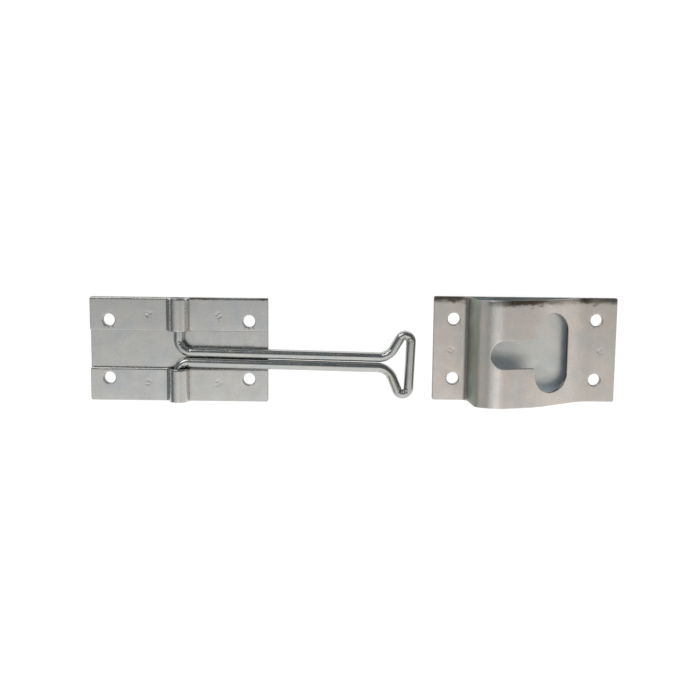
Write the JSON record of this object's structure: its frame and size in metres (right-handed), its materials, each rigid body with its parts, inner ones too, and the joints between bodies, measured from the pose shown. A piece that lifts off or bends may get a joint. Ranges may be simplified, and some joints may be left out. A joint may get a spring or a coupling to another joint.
{
  "type": "hasp and staple door holder",
  "caption": "Door holder: a bent-wire T-hook hinged in the knuckles of a screw-on bracket, and a bulged keeper plate whose T-shaped slot takes the hook's head.",
  "frame": {"origin": "centre of the hinge bracket's back face, on the mounting plane z = 0; the hook's swing axis crosses above it at z = 3.9 mm", "axes": "+X from the bracket along the hook towards the keeper, +Y across it towards the upper strap, +Z out of the mounting plane"},
  "size_m": [0.2248, 0.0464, 0.0226],
  "materials": {
    "zinc_bracket": "bright zinc plating on 1.2 mm steel sheet, satin",
    "zinc_keeper": "bright zinc plating on 1.2 mm steel sheet, satin, slightly warmer",
    "zinc_wire": "bright zinc plating on 4.3 mm steel wire, shinier than the sheet"
  },
  "bodies": {
    "bracket": {"hinge_back_plate": "zinc_bracket", "upper_strap": "zinc_bracket", "lower_strap": "zinc_bracket"},
    "hook": {"t_hook": "zinc_wire"},
    "keeper": {"keeper_back_plate": "zinc_bracket", "keeper_front_plate": "zinc_keeper"}
  },
  "joints": [
    {"name": "hook_swing", "type": "hinge", "parent": "bracket", "child": "hook", "pos_m": [0, 0, 0.0039], "axis": [0, -1, 0], "range_deg": [0, 180]},
    {"name": "keeper_spacing", "type": "slide", "parent": "bracket", "child": "keeper", "axis": [1, 0, 0], "range_m": [0, 0.1]}
  ]
}
